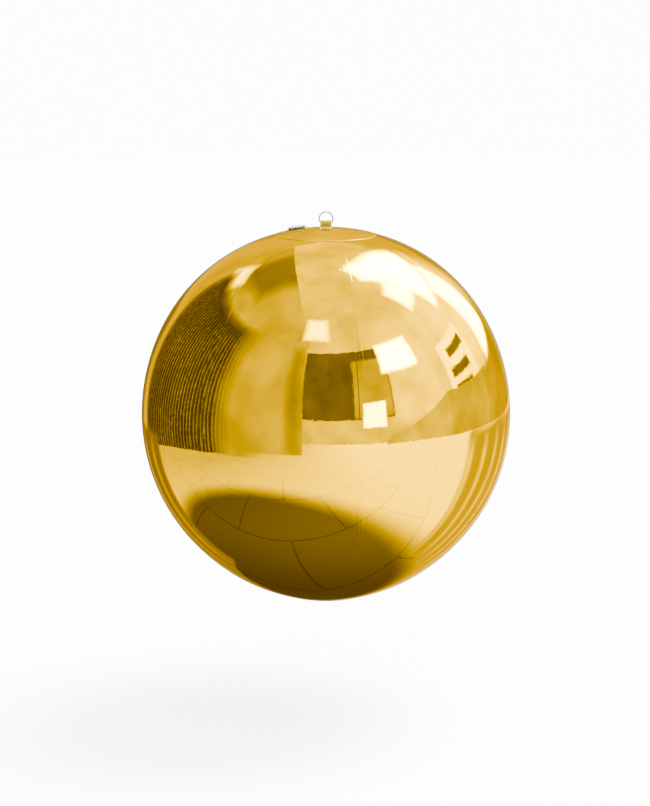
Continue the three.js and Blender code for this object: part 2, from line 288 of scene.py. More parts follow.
def piece(name, points, faces, look, body, slot, *nodes):
    """A smooth mesh piece that rides on a body and stands for CAD nodes."""
    mesh = bpy.data.meshes.new(name)
    mesh.from_pydata([tuple(p) for p in points], [], [tuple(f) for f in faces])
    mesh.validate()
    mesh.polygons.foreach_set("use_smooth", [True] * len(mesh.polygons))
    mesh.materials.append(look)
    made = bpy.data.objects.new(name, mesh)
    scene.collection.objects.link(made)
    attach(made, body)
    if nodes:
        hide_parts(*nodes)
    return made


def crisp(obj, angle=35):
    """Smooth shading that breaks where faces meet at more than an angle."""
    obj.data.set_sharp_from_angle(angle=math.radians(angle))
    return obj


def plate(outer, inner):
    """Points and faces of a closed thin plate from two grids of points, rows by columns."""
    rows, columns = outer.shape[0] - 1, outer.shape[1] - 1
    points = np.concatenate([outer.reshape(-1, 3), inner.reshape(-1, 3)])

    def at(row, column, side):
        return (side * (rows + 1) + row) * (columns + 1) + column

    faces = []
    for row in range(rows):
        for column in range(columns):
            corners = [(row, column), (row + 1, column), (row + 1, column + 1), (row, column + 1)]
            faces.append([at(*corner, 0) for corner in corners])
            faces.append([at(*corner, 1) for corner in reversed(corners)])
    for row in range(rows):
        faces.append([at(row, 0, 1), at(row + 1, 0, 1), at(row + 1, 0, 0), at(row, 0, 0)])
        end = columns
        faces.append([at(row, end, 0), at(row + 1, end, 0), at(row + 1, end, 1), at(row, end, 1)])
    for column in range(columns):
        right, end = column + 1, rows
        faces.append([at(0, column, 0), at(0, right, 0), at(0, right, 1), at(0, column, 1)])
        faces.append([at(end, column, 1), at(end, right, 1), at(end, right, 0), at(end, column, 0)])
    return points, faces


def rounded(points, radius, steps=4, closed=True):
    """A profile with its corners rounded off, at most halfway along each side."""
    points = [Vector((*p, 0)) for p in points]
    made = []
    for i, corner in enumerate(points):
        if not closed and i in (0, len(points) - 1):
            made.append(corner)
            continue
        before, after = points[i - 1] - corner, points[(i + 1) % len(points)] - corner
        cut = min(radius, before.length * 0.45, after.length * 0.45)
        start, end = corner + before.normalized() * cut, corner + after.normalized() * cut
        for step in range(steps + 1):
            t = step / steps
            made.append(start * (1 - t) ** 2 + corner * 2 * t * (1 - t) + end * t**2)
    return [(p.x, p.y) for p in made]


def lathe(profile, segments=96, closed=True):
    """A profile of (radius, height) turned about Z. Its ends lie on the axis, or it is closed."""
    points, faces, rings = [], [], []
    for radius, height in profile:
        if radius < 1e-7:
            rings.append([len(points)] * segments)
            points.append(Vector((0, 0, height)))
            continue
        rings.append(list(range(len(points), len(points) + segments)))
        for i in range(segments):
            turn = 2 * math.pi * i / segments
            points.append(Vector((radius * math.cos(turn), radius * math.sin(turn), height)))
    pairs = list(zip(rings, rings[1:]))
    if closed:
        pairs.append((rings[-1], rings[0]))
    for low, high in pairs:
        for i in range(segments):
            k = (i + 1) % segments
            corners = [low[i], low[k], high[k], high[i]]
            faces.append(list(dict.fromkeys(corners)))
    return points, [face for face in faces if len(face) > 2]


def tube_faces(rings, sides):
    """Faces of a tube with closed ends, ring by ring."""
    faces = []
    for i in range(rings - 1):
        for side in range(sides):
            k = (side + 1) % sides
            a, b = i * sides, (i + 1) * sides
            faces.append([a + side, a + k, b + k, b + side])
    faces.append(list(reversed(range(sides))))
    last = (rings - 1) * sides
    faces.append([last + side for side in range(sides)])
    return faces


def sweep(path, sides, section):
    """Points and faces of a section swept along a path in the XZ plane."""
    points = []
    for i, spot in enumerate(path):
        before, after = path[max(i - 1, 0)], path[min(i + 1, len(path) - 1)]
        along = (after - before).normalized()
        across = Vector((0, 1, 0))
        up = along.cross(across).normalized()
        for side in range(sides):
            turn = 2 * math.pi * side / sides
            points.append(spot + section(across * math.cos(turn) + up * math.sin(turn)))
    return points, tube_faces(len(path), sides)


def outward(points, faces):
    """The same faces, turned so that they face out of the closed shape."""
    made = bmesh.new()
    corners = [made.verts.new(p) for p in points]
    for face in faces:
        made.faces.new([corners[i] for i in face])
    bmesh.ops.recalc_face_normals(made, faces=made.faces)
    made.verts.index_update()
    turned = [[v.index for v in face.verts] for face in made.faces]
    made.free()
    return points, turned


def combine(obj, other, operation):
    """Cuts other from obj or joins it to obj, and removes other."""
    change = obj.modifiers.new("combine", "BOOLEAN")
    change.operation = operation
    change.solver = "EXACT"
    change.object = other
    bpy.context.view_layer.update()
    graph = bpy.context.evaluated_depsgraph_get()
    done = bpy.data.meshes.new_from_object(obj.evaluated_get(graph))
    obj.modifiers.remove(change)
    old = obj.data
    obj.data = done
    bpy.data.meshes.remove(old)
    bpy.data.objects.remove(other)
    return obj


def loose(points, faces):
    """A bare mesh object for combine()."""
    mesh = bpy.data.meshes.new("loose")
    mesh.from_pydata([tuple(p) for p in points], [], faces)
    made = bpy.data.objects.new("loose", mesh)
    scene.collection.objects.link(made)
    return made


# ---- Film ----


def profile(polar, offset):
    """Radius and height of the ball's surface at polar angles, moved out by offset."""

    def bare(angle):
        height = np.cos(angle)
        swell = 1 + FULLNESS * height + SHOULDER * height**3
        return EQUATOR_RADIUS * np.sin(angle) * swell, POLE_HEIGHT * height

    step = 0.001
    (r0, z0), (r1, z1) = bare(polar - step), bare(polar + step)
    length = np.hypot(r1 - r0, z1 - z0)
    radius, height = bare(polar)
    return radius - (z1 - z0) / length * offset, height + (r1 - r0) / length * offset


def on_ball(polar, azimuth, offset):
    """Points on the ball: azimuth runs from -Y towards +X."""
    radius, height = profile(polar, offset)
    return np.stack([radius * np.sin(azimuth), -radius * np.cos(azimuth), centre_z + height], axis=-1)


def waves(points, length, seed, count=16):
    """A smooth random field over points, about -1 to 1, whose waves are about that long."""
    rng = np.random.default_rng(seed)
    total = np.zeros(points.shape[:-1])
    for _ in range(count):
        way = rng.normal(size=3)
        way /= np.linalg.norm(way)
        stretch = length * rng.uniform(0.75, 1.5)
        total += np.sin(2 * math.pi / stretch * (points @ way) + rng.uniform(0, 2 * math.pi))
    return total / math.sqrt(count / 2) * 0.6


def step_down(distance, edge, width):
    """1 inside edge and 0 outside it, with a smooth step of that width."""
    t = np.clip((edge + width / 2 - distance) / width, 0, 1)
    return t * t * (3 - 2 * t)


def seam_distance(polar, azimuth):
    """How far points are from the nearest seam."""
    turn = (azimuth - FIRST_SEAM + GORE_ANGLE / 2) % GORE_ANGLE - GORE_ANGLE / 2
    return np.abs(turn) * profile(polar, 0)[0]


def film_lift(polar, azimuth):
    """How far the film stands off the plain ball: seams, welds, puckers and pinches."""
    from_seam = seam_distance(polar, azimuth)
    spots = on_ball(polar, azimuth, 0.0)
    lift = -SEAM_DIP * np.exp(-((from_seam / SEAM_SPREAD) ** 2))
    lift += WELD_RISE * step_down(from_seam, TAPE_WIDTH / 2, WELD_EDGE)
    near = np.exp(-from_seam / PUCKER_SPREAD)
    lift += PUCKER * near * waves(spots, 34 * MM, 11)
    from_edge = (np.minimum(polar, math.pi - polar) - DISC_EDGE) * EQUATOR_RADIUS
    pinch = np.exp(-np.clip(from_edge, 0, None) / PINCH_REACH)
    ring = sum(np.sin(PINCHES * share * azimuth + share * 9) for share in (1.0, 0.63, 1.41)) / 2
    lift += PINCH * pinch * (ring * 0.5 + 0.5 * waves(spots, 30 * MM, 12))
    return lift + SOFT_WAVES * waves(spots, 230 * MM, 13)


NEAR_SEAM = (0.15, 2, 4, 6, 7.4, 8.2, 9, 9.8, 10.8, 13, 17, 23)  # millimetres, fine steps by the weld
GORE_MIDDLE_STEPS = 13
GORE_ROWS = 168
GORE_TUCK = 0.004  # radians that a gore runs on evenly under a disc
TAPE_CLEARANCE = 0.15 * MM
SHEET_ANGLE = 60  # film and strap are smooth up to this angle between faces


def gore_grid():
    """Polar angles by row, and for each the distances across the gore as angles from its first seam."""
    first_row = DISC_EDGE - GORE_TUCK
    rows = np.linspace(first_row, math.pi - first_row, GORE_ROWS)
    polar = np.concatenate([[GORE_END], rows, [math.pi - GORE_END]])
    radius = profile(polar, 0)[0]
    near = np.array(NEAR_SEAM) * MM / radius[:, None]
    share = np.linspace(0, 1, GORE_MIDDLE_STEPS + 1)[1:]
    rest = near[:, -1:] + (GORE_ANGLE / 2 - near[:, -1:]) * share
    half = np.concatenate([near, rest], axis=1)
    across = np.concatenate([half, GORE_ANGLE - half[:, -2::-1]], axis=1)
    return np.repeat(polar[:, None], across.shape[1], axis=1), across


def gore_panel(number, polar, across):
    azimuth = FIRST_SEAM + (number - 1) * GORE_ANGLE + across
    lift = film_lift(polar, azimuth)
    grids = [on_ball(polar, azimuth, lift - depth) for depth in (0, FILM)]
    node = f"gore_panel_{number}"
    crisp(piece(f"film_gore_{number}", *plate(*grids), FILM_LOOK, "ball", "gold_film", node), SHEET_ANGLE)


def seam_tape(number, polar):
    seam = FIRST_SEAM + (number - 1) * GORE_ANGLE
    reach = np.linspace(-TAPE_WIDTH / 2, TAPE_WIDTH / 2, 5)
    across = seam + reach / profile(polar[:, :1], 0)[0]
    rows = np.repeat(polar[:, :1], len(reach), axis=1)
    lift = film_lift(rows, across) - FILM - TAPE_CLEARANCE
    grids = [on_ball(rows, across, lift - depth) for depth in (0, FILM)]
    node = f"seam_tape_{number}"
    crisp(piece(f"inner_tape_{number}", *plate(*grids), TAPE_LOOK, "ball", "weld_tape", node), SHEET_ANGLE)


DISC_RINGS = 44
DISC_SECTORS = 280
DISC_WELD = 19 * MM  # width of the weld between a disc and the gores
DISC_STAND = GAP + 0.1 * MM  # a disc stands this far off the gores
WELD_RING = (0.25 * MM, 1.2 * MM, 1.6 * MM)  # depth, half width and edge of the pressed ring
DISC_RIM = (GAP + 0.04 * MM, 1.4 * MM, 2.4 * MM)  # drop, width and slope of the rim
THIN_RIM = 3 * MM  # the film thins out to a quarter over this width


def disc_lift(angle, azimuth, polar):
    """How far a disc stands off the plain ball, with a pressed weld ring and its edge pressed down."""
    from_edge = (DISC_EDGE - angle) * EQUATOR_RADIUS
    spots = on_ball(polar, azimuth, 0.0)
    depth, half, slope = WELD_RING
    lift = DISC_STAND - depth * step_down(np.abs(from_edge - DISC_WELD), half, slope)
    ring = np.sin(PINCHES * azimuth + 9) + waves(spots, 30 * MM, 12)
    lift = lift + PINCH * 0.3 * np.exp(-from_edge / (DISC_WELD / 2)) * (1 + ring)
    drop, width, slope = DISC_RIM
    lift = lift - drop * step_down(from_edge, width, slope)
    return lift + SOFT_WAVES * waves(spots, 230 * MM, 13) + 0.1 * MM * waves(spots, 60 * MM, 14)


def cap_disc(pole):
    """A round disc of film over the gores' ends."""
    angle = np.linspace(0, DISC_EDGE, DISC_RINGS + 1)[1:]
    turn = np.linspace(0, 2 * math.pi, DISC_SECTORS, endpoint=False)
    angle, azimuth = np.meshgrid(angle, turn, indexing="ij")
    polar = angle if pole == "top" else math.pi - angle
    lift = disc_lift(angle, azimuth, polar)
    points, faces = [], []
    tip = 1 if pole == "top" else -1
    for thickness in (FILM, 0):
        start = len(points)
        middle = tip * (POLE_HEIGHT + GAP + thickness)
        points.append((0, 0, centre_z + middle))
        full = np.clip((DISC_EDGE - angle) * EQUATOR_RADIUS / THIN_RIM, 0, 1)
        depth = thickness * (0.25 + 0.75 * full)
        points.extend(on_ball(polar, azimuth, lift + depth).reshape(-1, 3))
        for k in range(DISC_SECTORS):
            right = (k + 1) % DISC_SECTORS
            faces.append([start, start + 1 + k, start + 1 + right])
            for ring in range(DISC_RINGS - 1):
                a = start + 1 + ring * DISC_SECTORS
                b = a + DISC_SECTORS
                faces.append([a + k, b + k, b + right, a + right])
    rim = 1 + (DISC_RINGS - 1) * DISC_SECTORS
    under = rim + 1 + DISC_RINGS * DISC_SECTORS
    for k in range(DISC_SECTORS):
        right = (k + 1) % DISC_SECTORS
        faces.append([rim + k, rim + right, under + right, under + k])
    name = f"{pole}_disc"
    return piece(name, *outward(points, faces), DISC_LOOK, "ball", "gold_disc", f"{pole}_cap_disc")


def envelope():
    polar, across = gore_grid()
    for number in range(1, GORES + 1):
        gore_panel(number, polar, across)
        seam_tape(number, polar)
    cap_disc("bottom")


envelope()


# ---- Ring and tab ----

WIRE = 3.6 * MM
RING_HALF = 18.3 * MM  # middle of the wire, sideways
RING_CORNER = 3 * MM
TAB_HALF = 16 * MM
TAB_STRAP = 0.9 * MM
TAB_LOOP = WIRE / 2 + 0.5 * MM
FOOT_LENGTH = 24 * MM
FOOT_BEND = 2.6 * MM
LEG_TOP = 5 * MM  # the legs are straight up to this far below the bar


def arc(centre, radius, start, end, steps):
    """Points of an arc in the XZ plane, in degrees from +X."""
    turns = [math.radians(start + (end - start) * i / steps) for i in range(steps + 1)]
    return [Vector((centre[0] + radius * math.cos(t), 0, centre[1] + radius * math.sin(t))) for t in turns]


def d_ring():
    """Bent wire: a straight bar, two small corners and an arch. Its ends meet in the tab's fold."""
    arch_z = WIRE / 2 - RING_HALF
    inset = RING_HALF - RING_CORNER
    corner_z = bar_z + RING_CORNER
    path = [Vector((GAP / 2, 0, bar_z)), Vector((inset / 2, 0, bar_z))]
    path += arc((inset, corner_z), RING_CORNER, -90, 0, 10)
    path += arc((0, arch_z), RING_HALF, 0, 180, 64)
    path += arc((-inset, corner_z), RING_CORNER, 180, 270, 10)
    path += [Vector((-inset / 2, 0, bar_z)), Vector((-GAP / 2, 0, bar_z))]
    points, faces = sweep(path, 24, lambda way: way * (WIRE / 2))
    made = piece("ring_wire", *outward(points, faces), STEEL_LOOK, "ring", "ring_steel", "d_ring")
    made.visible_glossy = False  # hidden from reflections, so the film doesn't mirror it
    crisp(made, 50)


def strap_line():
    """Middle line of the strap in (Y, Z): up from the front foot, round the bar and down again."""
    leg = (GAP + TAB_STRAP) / 2
    foot_z = disc_top + GAP + TAB_STRAP / 2
    loop = TAB_LOOP + TAB_STRAP / 2
    half = []
    for i in range(9):
        y = FOOT_LENGTH + (leg + FOOT_BEND - FOOT_LENGTH) * i / 8
        half.append((y, foot_z - y * y / (2 * EQUATOR_RADIUS)))
    for i in range(1, 7):
        t = math.radians(90 * i / 6)
        half.append((leg + FOOT_BEND * (1 - math.sin(t)), foot_z + FOOT_BEND * (1 - math.cos(t))))
    for i in range(1, 6):
        z = foot_z + FOOT_BEND + (bar_z - LEG_TOP - foot_z - FOOT_BEND) * i / 5
        half.append((leg, z))
    for degrees in range(46, 181, 9):
        t = math.radians(degrees)
        half.append((loop * math.sin(t), bar_z - loop * math.cos(t)))
    half = [Vector((0, -y, z)) for y, z in half]
    return half + [Vector((0, -p.y, p.z)) for p in reversed(half[:-1])]


def hang_tab():
    """The webbing, folded round the bar, with rounded edges."""
    line = strap_line()
    across = np.linspace(-1, 1, 29)
    edge = np.sqrt(np.clip(1 - np.clip((np.abs(across) - 0.965) / 0.035, 0, 1) ** 2, 0.12, 1))
    outer, inner = [], []
    for i, spot in enumerate(line):
        before, after = line[max(i - 1, 0)], line[min(i + 1, len(line) - 1)]
        along = (after - before).normalized()
        out = along.cross(Vector((1, 0, 0))).normalized()
        rows = [[], []]
        for place, round_off in zip(across, edge):
            middle = spot + Vector((place * TAB_HALF, 0, 0))
            for row, side in zip(rows, (1, -1)):
                row.append(middle + out * (side * TAB_STRAP / 2 * round_off))
        outer.append(rows[0])
        inner.append(rows[1])
    points, faces = plate(np.array(outer), np.array(inner))
    made = piece("tab_strap", *outward(points, faces), STRAP_LOOK, "ball", "gold_strap", "hang_tab")
    made.visible_glossy = False  # hidden from reflections, so the film doesn't mirror it
    crisp(made, SHEET_ANGLE)


STITCH_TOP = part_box("tab_stitch_front")[1].z
STITCH_HALF_WIDTH = 12 * MM
STITCH_HEIGHT = 7 * MM
TACK = 1.5 * MM  # width of a zigzag row
TACK_STEP = 0.6 * MM
THREAD = 0.34 * MM  # radius
THREAD_SINK = 0.8  # how far a thread's ends sink into the strap, in its radius
CROSS_STEPS = 12


def thread_run(line, face_y, sides=6):
    """A thread through the points of a line on a face of the strap, sunk into it at both ends."""
    points = []
    for i, spot in enumerate(line):
        before, after = line[max(i - 1, 0)], line[min(i + 1, len(line) - 1)]
        across = (after - before).normalized().cross(Vector((0, 1, 0)))
        sunk = THREAD_SINK if i in (0, len(line) - 1) else 0
        middle = Vector((spot.x, face_y - math.copysign(THREAD * sunk, face_y), spot.z))
        for side in range(sides):
            turn = 2 * math.pi * side / sides
            points.append(middle + (across * math.cos(turn) + Vector((0, math.sin(turn), 0))) * THREAD)
    return points, tube_faces(len(line), sides)


def zigzag(start, end):
    """A bar tack: a tight zigzag from start to end."""
    along = (end - start).normalized()
    across = along.cross(Vector((0, 1, 0))) * (TACK / 2 - THREAD)
    count = round((end - start).length / TACK_STEP)
    return [start.lerp(end, i / count) + across * (1 if i % 2 else -1) for i in range(count + 1)]


def stitches(side):
    """A box of bar tacks with a cross in it, sewn through both legs of the tab."""
    half = STITCH_HALF_WIDTH - TACK / 2
    top, bottom = STITCH_TOP - TACK / 2, STITCH_TOP - STITCH_HEIGHT + TACK / 2
    face_y = side * (GAP / 2 + TAB_STRAP + THREAD * 0.7)
    spans = ((-half, top, half, top), (-half, bottom, half, bottom))
    spans += ((-half, top - TACK, -half, bottom + TACK), (half, top - TACK, half, bottom + TACK))
    runs = [zigzag(Vector((x0, 0, z0)), Vector((x1, 0, z1))) for x0, z0, x1, z1 in spans]
    for way in (-1, 1):
        start, end = Vector((-half * way, 0, top - TACK / 2)), Vector((half * way, 0, bottom + TACK / 2))
        runs.append([start.lerp(end, i / CROSS_STEPS) for i in range(1, CROSS_STEPS)])
    points, faces = [], []
    for line in runs:
        more, sides = thread_run(line, face_y)
        faces += [[len(points) + k for k in face] for face in sides]
        points += more
    word = "front" if side < 0 else "back"
    node = f"tab_stitch_{word}"
    piece(f"stitches_{word}", *outward(points, faces), THREAD_LOOK, "ball", "thread", node)


d_ring()
hang_tab()
stitches(-1)
stitches(1)


# ---- Valve ----


def valve_frame():
    """The valve's own frame: Z along its axis and X towards its hinge."""
    joints = {joint["name"]: joint for joint in frame["joints"]}
    axis = Vector(joints["core_turn"]["axis"])
    side = Vector(joints["cap_swing"]["axis"])
    rotation = Matrix((side.cross(axis), side, axis)).transposed().to_4x4()
    return Matrix.Translation(Vector(joints["core_turn"]["pos_m"])) @ rotation


VALVE = valve_frame()


def in_valve(points):
    return [VALVE @ Vector(p) for p in points]


def millimetres(points_mm):
    return [(first * MM, second * MM) for first, second in points_mm]


def turned(name, profile_mm, radius_mm, look, body, slot, node, segments=96):
    """A turned piece of the valve, its corners rounded."""
    points, faces = lathe(rounded(millimetres(profile_mm), radius_mm * MM), segments)
    return crisp(piece(name, in_valve(points), outward(points, faces)[1], look, body, slot, node), 40)


def bar(low, high, radius, steps=4):
    """A box in the valve's frame with its upright edges rounded, in millimetres."""
    (x0, y0, z0), (x1, y1, z1) = low, high
    corners = millimetres([(x0, y0), (x1, y0), (x1, y1), (x0, y1)])
    outline = rounded(corners, radius * MM, steps)
    count = len(outline)
    points = [Vector((x, y, z * MM)) for z in (z0, z1) for x, y in outline]
    faces = [list(reversed(range(count))), list(range(count, 2 * count))]
    for i in range(count):
        k = (i + 1) % count
        faces.append([i, k, count + k, count + i])
    return loose(in_valve(points), faces)


def valve_base():
    """Flange with pressed weld rings, a collar and the neck inside the ball."""
    profile_mm = [(17, -10), (19, -10), (19, 0.3), (29, -0.4), (29, 0.3)]
    for ring in (27.6, 26.2, 24.8):
        profile_mm += [(ring, 0.55), (ring - 0.35, 0.3), (ring - 0.7, 0.55)]
    profile_mm += [(22.6, 1.2), (21.5, 3), (18.6, 3), (18.6, 1.1), (17, 1.1)]
    # The flange's dark grey is painted shade for the shadow on its edge below the lid.
    turned("valve_flange", profile_mm, 0.25, PAINTED_SHADE_VINYL, "ball", "clear_vinyl", "valve_base")


def core_seal():
    turns = np.linspace(0, 2 * math.pi, 17)[:-1]
    ring = [(17.45 + 0.75 * math.cos(t), 2.25 + 0.75 * math.sin(t)) for t in turns]
    turned("seal_ring", ring, 0.01, SILICONE_LOOK, "core_slide", "silicone", "core_seal")


def valve_core():
    """Tube with a rim, moulded thread rounds and a spider at its lower end."""
    profile_mm = [(12.5, -11.5), (16.1, -11.5)]
    for height in (-9, -6, -3):
        profile_mm += [(16.1, height - 0.8), (16.5, height), (16.1, height + 0.8)]
    profile_mm += [(16.1, 3.3), (21.5, 3.3), (21.5, 4.6), (12.5, 4.6)]
    core = turned("screw_core", profile_mm, 0.25, PALE_LOOK, "core", "pale_vinyl", "valve_core")
    hub = millimetres([(1.8, -11.5), (4.5, -11.5), (4.5, -9.5), (1.8, -9.5)])
    hub_points, hub_faces = lathe(rounded(hub, 0.2 * MM), 48)
    for turn in (0, 60, 120):
        spoke = bar((-13.2, -1, -11.45), (13.2, 1, -9.55), 0.3)
        spin = VALVE @ Matrix.Rotation(math.radians(turn), 4, "Z") @ VALVE.inverted()
        spoke.data.transform(spin)
        core = combine(core, spoke, "UNION")
    peg_hole = millimetres([(0, -12), (1.8, -12), (1.8, -9), (0, -9)])
    hole_points, hole_faces = lathe(peg_hole, 32, False)
    core = combine(core, loose(in_valve(hub_points), outward(hub_points, hub_faces)[1]), "UNION")
    core = combine(core, loose(in_valve(hole_points), outward(hole_points, hole_faces)[1]), "DIFFERENCE")
    crisp(core, 35)


def check_flap():
    profile_mm = [(1.8, -12.6), (13.6, -12.6), (14.8, -12.2), (14.8, -11.8), (1.8, -11.8)]
    turned("one_way_flap", profile_mm, 0.25, SILICONE_LOOK, "flap", "silicone", "check_flap")


def flap_peg():
    profile_mm = [(0, -15.9), (2.4, -15.9), (3, -14.9), (1.5, -14.9)]
    profile_mm += [(1.5, -9.2), (3, -9.2), (2.2, -8.2), (0, -8.2)]
    points, faces = lathe(rounded(millimetres(profile_mm), 0.3 * MM, 4, False), 48, False)
    faces = outward(points, faces)[1]
    crisp(piece("flap_pin", in_valve(points), faces, PALE_LOOK, "core", "pale_vinyl", "flap_peg"), 40)


def cap_tether():
    profile_mm = [(21.8, 3.2), (23.6, 3.2), (23.6, 4.3), (21.8, 4.3)]
    ring = turned("tether", profile_mm, 0.4, CLEAR_LOOK, "core", "clear_vinyl", "cap_tether")
    crisp(combine(ring, bar((23, -5, 3.3), (27.1, 5, 4.2), 0.8), "UNION"), 35)


def cap_gasket():
    profile_mm = [(13.5, 4.9), (19.5, 4.9), (19.5, 5.6), (13.5, 5.6)]
    turned("gasket", profile_mm, 0.3, SILICONE_LOOK, "cap", "silicone", "cap_gasket")


def valve_cap():
    """Low domed lid: a ring and a gate mark on top, a skirt and a hollow plug below, a grip and an ear."""
    profile_mm = [(0, 5.9), (10, 5.9), (9.7, -1), (11.3, -1), (11.6, 5.9), (20, 5.9), (23, 5.5)]
    profile_mm += [(24.1, 5), (24.2, 2.6), (25, 2.6), (25, 4.9)]
    profile_mm += [(24, 6), (21.5, 6.9), (17.5, 7.5), (13, 7.9)]
    profile_mm += [(11, 8), (10.4, 7.7), (9.6, 7.72), (9, 8.08), (1.6, 8.2), (1.1, 7.9), (0, 7.9)]
    points, faces = lathe(rounded(millimetres(profile_mm), 0.25 * MM, 3, False), 96, False)
    faces = outward(points, faces)[1]
    cap = piece("valve_lid", in_valve(points), faces, CLEAR_LOOK, "cap", "clear_vinyl", "valve_cap")
    cap = combine(cap, bar((23.6, -5.8, 2), (27, 5.8, 4.8), 0.3), "DIFFERENCE")
    cap = combine(cap, bar((22, -5, 5.2), (27.1, 5, 6), 0.8), "UNION")
    cap = combine(cap, bar((-29, -5, 5.1), (-22, 5, 5.9), 1.8), "UNION")
    for rib in (-28, -26.9, -25.8):
        cap = combine(cap, bar((rib, -3.6, 5.7), (rib + 0.5, 3.6, 6.2), 0.2), "UNION")
    crisp(cap, 35)


def top_disc():
    """The top disc, with a hole where the valve's neck goes through."""
    disc = cap_disc("top")
    hole = millimetres([(0, -8), (19.3, -8), (19.3, 8), (0, 8)])
    points, faces = lathe(hole, 96, False)
    crisp(combine(disc, loose(in_valve(points), outward(points, faces)[1]), "DIFFERENCE"), 50)


top_disc()
valve_base()
core_seal()
valve_core()
check_flap()
flap_peg()
cap_tether()
cap_gasket()
valve_cap()


# ---- Studio ----
# The ball is a mirror, so most of its look is what stands round it: cards, flags and softboxes that only
# reflections see. Directions are (azimuth, elevation) in degrees seen from the ball's middle: azimuth 0 is
# behind the camera and 90 is +X. A nearer card hides a farther one.
# Together they repeat the layout of one room: their first directions were traced from a photograph by
# another program, and then moved by hand.

HANG_HEIGHT = 0.3  # clear of the floor
floor_z = cad_box[0].z - HANG_HEIGHT
FLOOR_RADIUS = 16.0
BACKDROP_HEIGHT = 14.0
REFLECTED_RADIUS = 7.0
REFLECTED_DROP = 0.002  # below the pale floor
SHADE_CENTRE = (-0.38, -0.27)  # the shade on the floor below the ball
SHADE_REACH = (0.74, 1.19)
SHADE_LEVEL = 0.165
DEEP_SHADE_CENTRE = (0, 0.25)  # the shade is deepest here
DEEP_SHADE = ((0.2, 0.6), (1, 1))  # (distance, level) where it is deepest and where that ends
GRADIENT = ((-2.4, 0.82), (1.3, 1.95))  # (x, level) of the floor's light at two places
SLAB = (0.9, 0.6)
SLAB_TURN = 24  # degrees
JOINT = 0.007
JOINT_LEVEL = 0.72
PALE = 2.8  # brightness of the backdrop

# name, azimuths, elevations, distance, brightness, softness of the edge in degrees, degrees of climb if any
CARDS = (
    ("canopy_top", (-180, 180), (66, 90), 6.9, 1.1, 0),
    ("canopy", (-50, 230), (24, 84), 6.4, 1.1, 14),
    ("wall_left", (-176, -14), (-25, 48), 3.6, 0.72, 0),
    ("wall_left_edge", (-26, -13), (-16, 46), 3.5, 0.47, 5),
    ("wall_right", (30, 136), (-8, 60), 6.3, 1.5, 14),
    ("yard", (-16, 40), (-10, 10), 6.25, 1.0, 1),
    ("block", (-14, 41), (6, 43), 6.2, 0.25, 0),
    ("block_side", (17, 41), (6, 38), 6.1, 0.68, 1),
    ("softbox_glow", (90, 164), (4, 80), 6.05, 1.8, 14),
    ("softbox_big", (114, 162), (36, 75), 6.0, 14.0, 7),
    ("softbox_tongue", (92, 120), (48, 65), 6.0, 9.0, 5),
    ("softbox_low", (127, 150), (7, 38), 5.9, 10.0, 4),
    ("limb_right", (157, 186), (6, 44), 5.85, 0.75, 5),
    ("softbox_front_right", (36, 66), (28, 45), 5.9, 10.0, 3),
    ("softbox_front", (-20, 4), (48, 63), 3.3, 3.2, 3),
    ("softbox_back_left", (-143, -118), (40, 53), 3.3, 3.0, 5),
    ("panel", (22, 36), (1, 15), 5.6, 5.5, 1),
    ("window", (84, 114), (7, 31), 5.9, 2.6, 1),
    ("window_bar_high", (91, 111), (22, 27), 5.8, 0.3, 1),
    ("window_bar_middle", (88, 108), (14, 19), 5.8, 0.3, 1),
    ("window_bar_low", (88, 106), (8, 12), 5.8, 0.3, 1),
    ("low_wall", (36, 80), (-12, -6), 5.7, 0.85, 0, 17),
    ("low_wall_high", (80, 122), (-12, 11), 5.7, 0.72, 0, -2),
    ("back_low_right", (116, 166), (-14, 9), 5.6, 0.6, 2),
    ("back_right", (158, 192), (-34, 22), 3.4, 0.5, 3),
    ("back_left", (-184, -146), (-30, 12), 3.4, 0.3, 4),
    ("screen", (-140, -49), (-25, 48), 3.2, 0.13, 4),
    ("screen_end", (-70, -36), (-39, 64), 3.1, 0.7, 14),
    ("drape_right", (73, 164), (-60, -3), 0.95, 0.62, 2, 8),
    ("drape_left", (-186, -98), (-60, -8), 0.95, 0.28, 2),
    ("drape_back", (154, 208), (-66, -12), 1.6, 0.13, 3),
)
# the strips: name, azimuths, elevations, distance, how many, share of the width, brightness, softness
STRIPS = (
    ("screen_slats", (-138, -50), (-25, 47), 3.15, 32, 0.5, 0.62, 1),
    ("drape_right_folds", (74, 150), (-59, -5), 0.93, 6, 0.5, 1.8, 5),
    ("drape_left_folds", (-158, -99), (-59, -9), 0.93, 4, 0.5, 0.75, 5),
)
# the ceiling: name, reach in x and in y, height over the middle of the ball, brightness, softness in metres
CEILINGS = (
    ("ceiling_left", (-6, -0.7), (-3.2, 8), 3.3, 0.72, 0),
    ("ceiling_duct", (-2.3, -0.7), (-0.25, 2.3), 3.25, 0.34, 0.5),
)


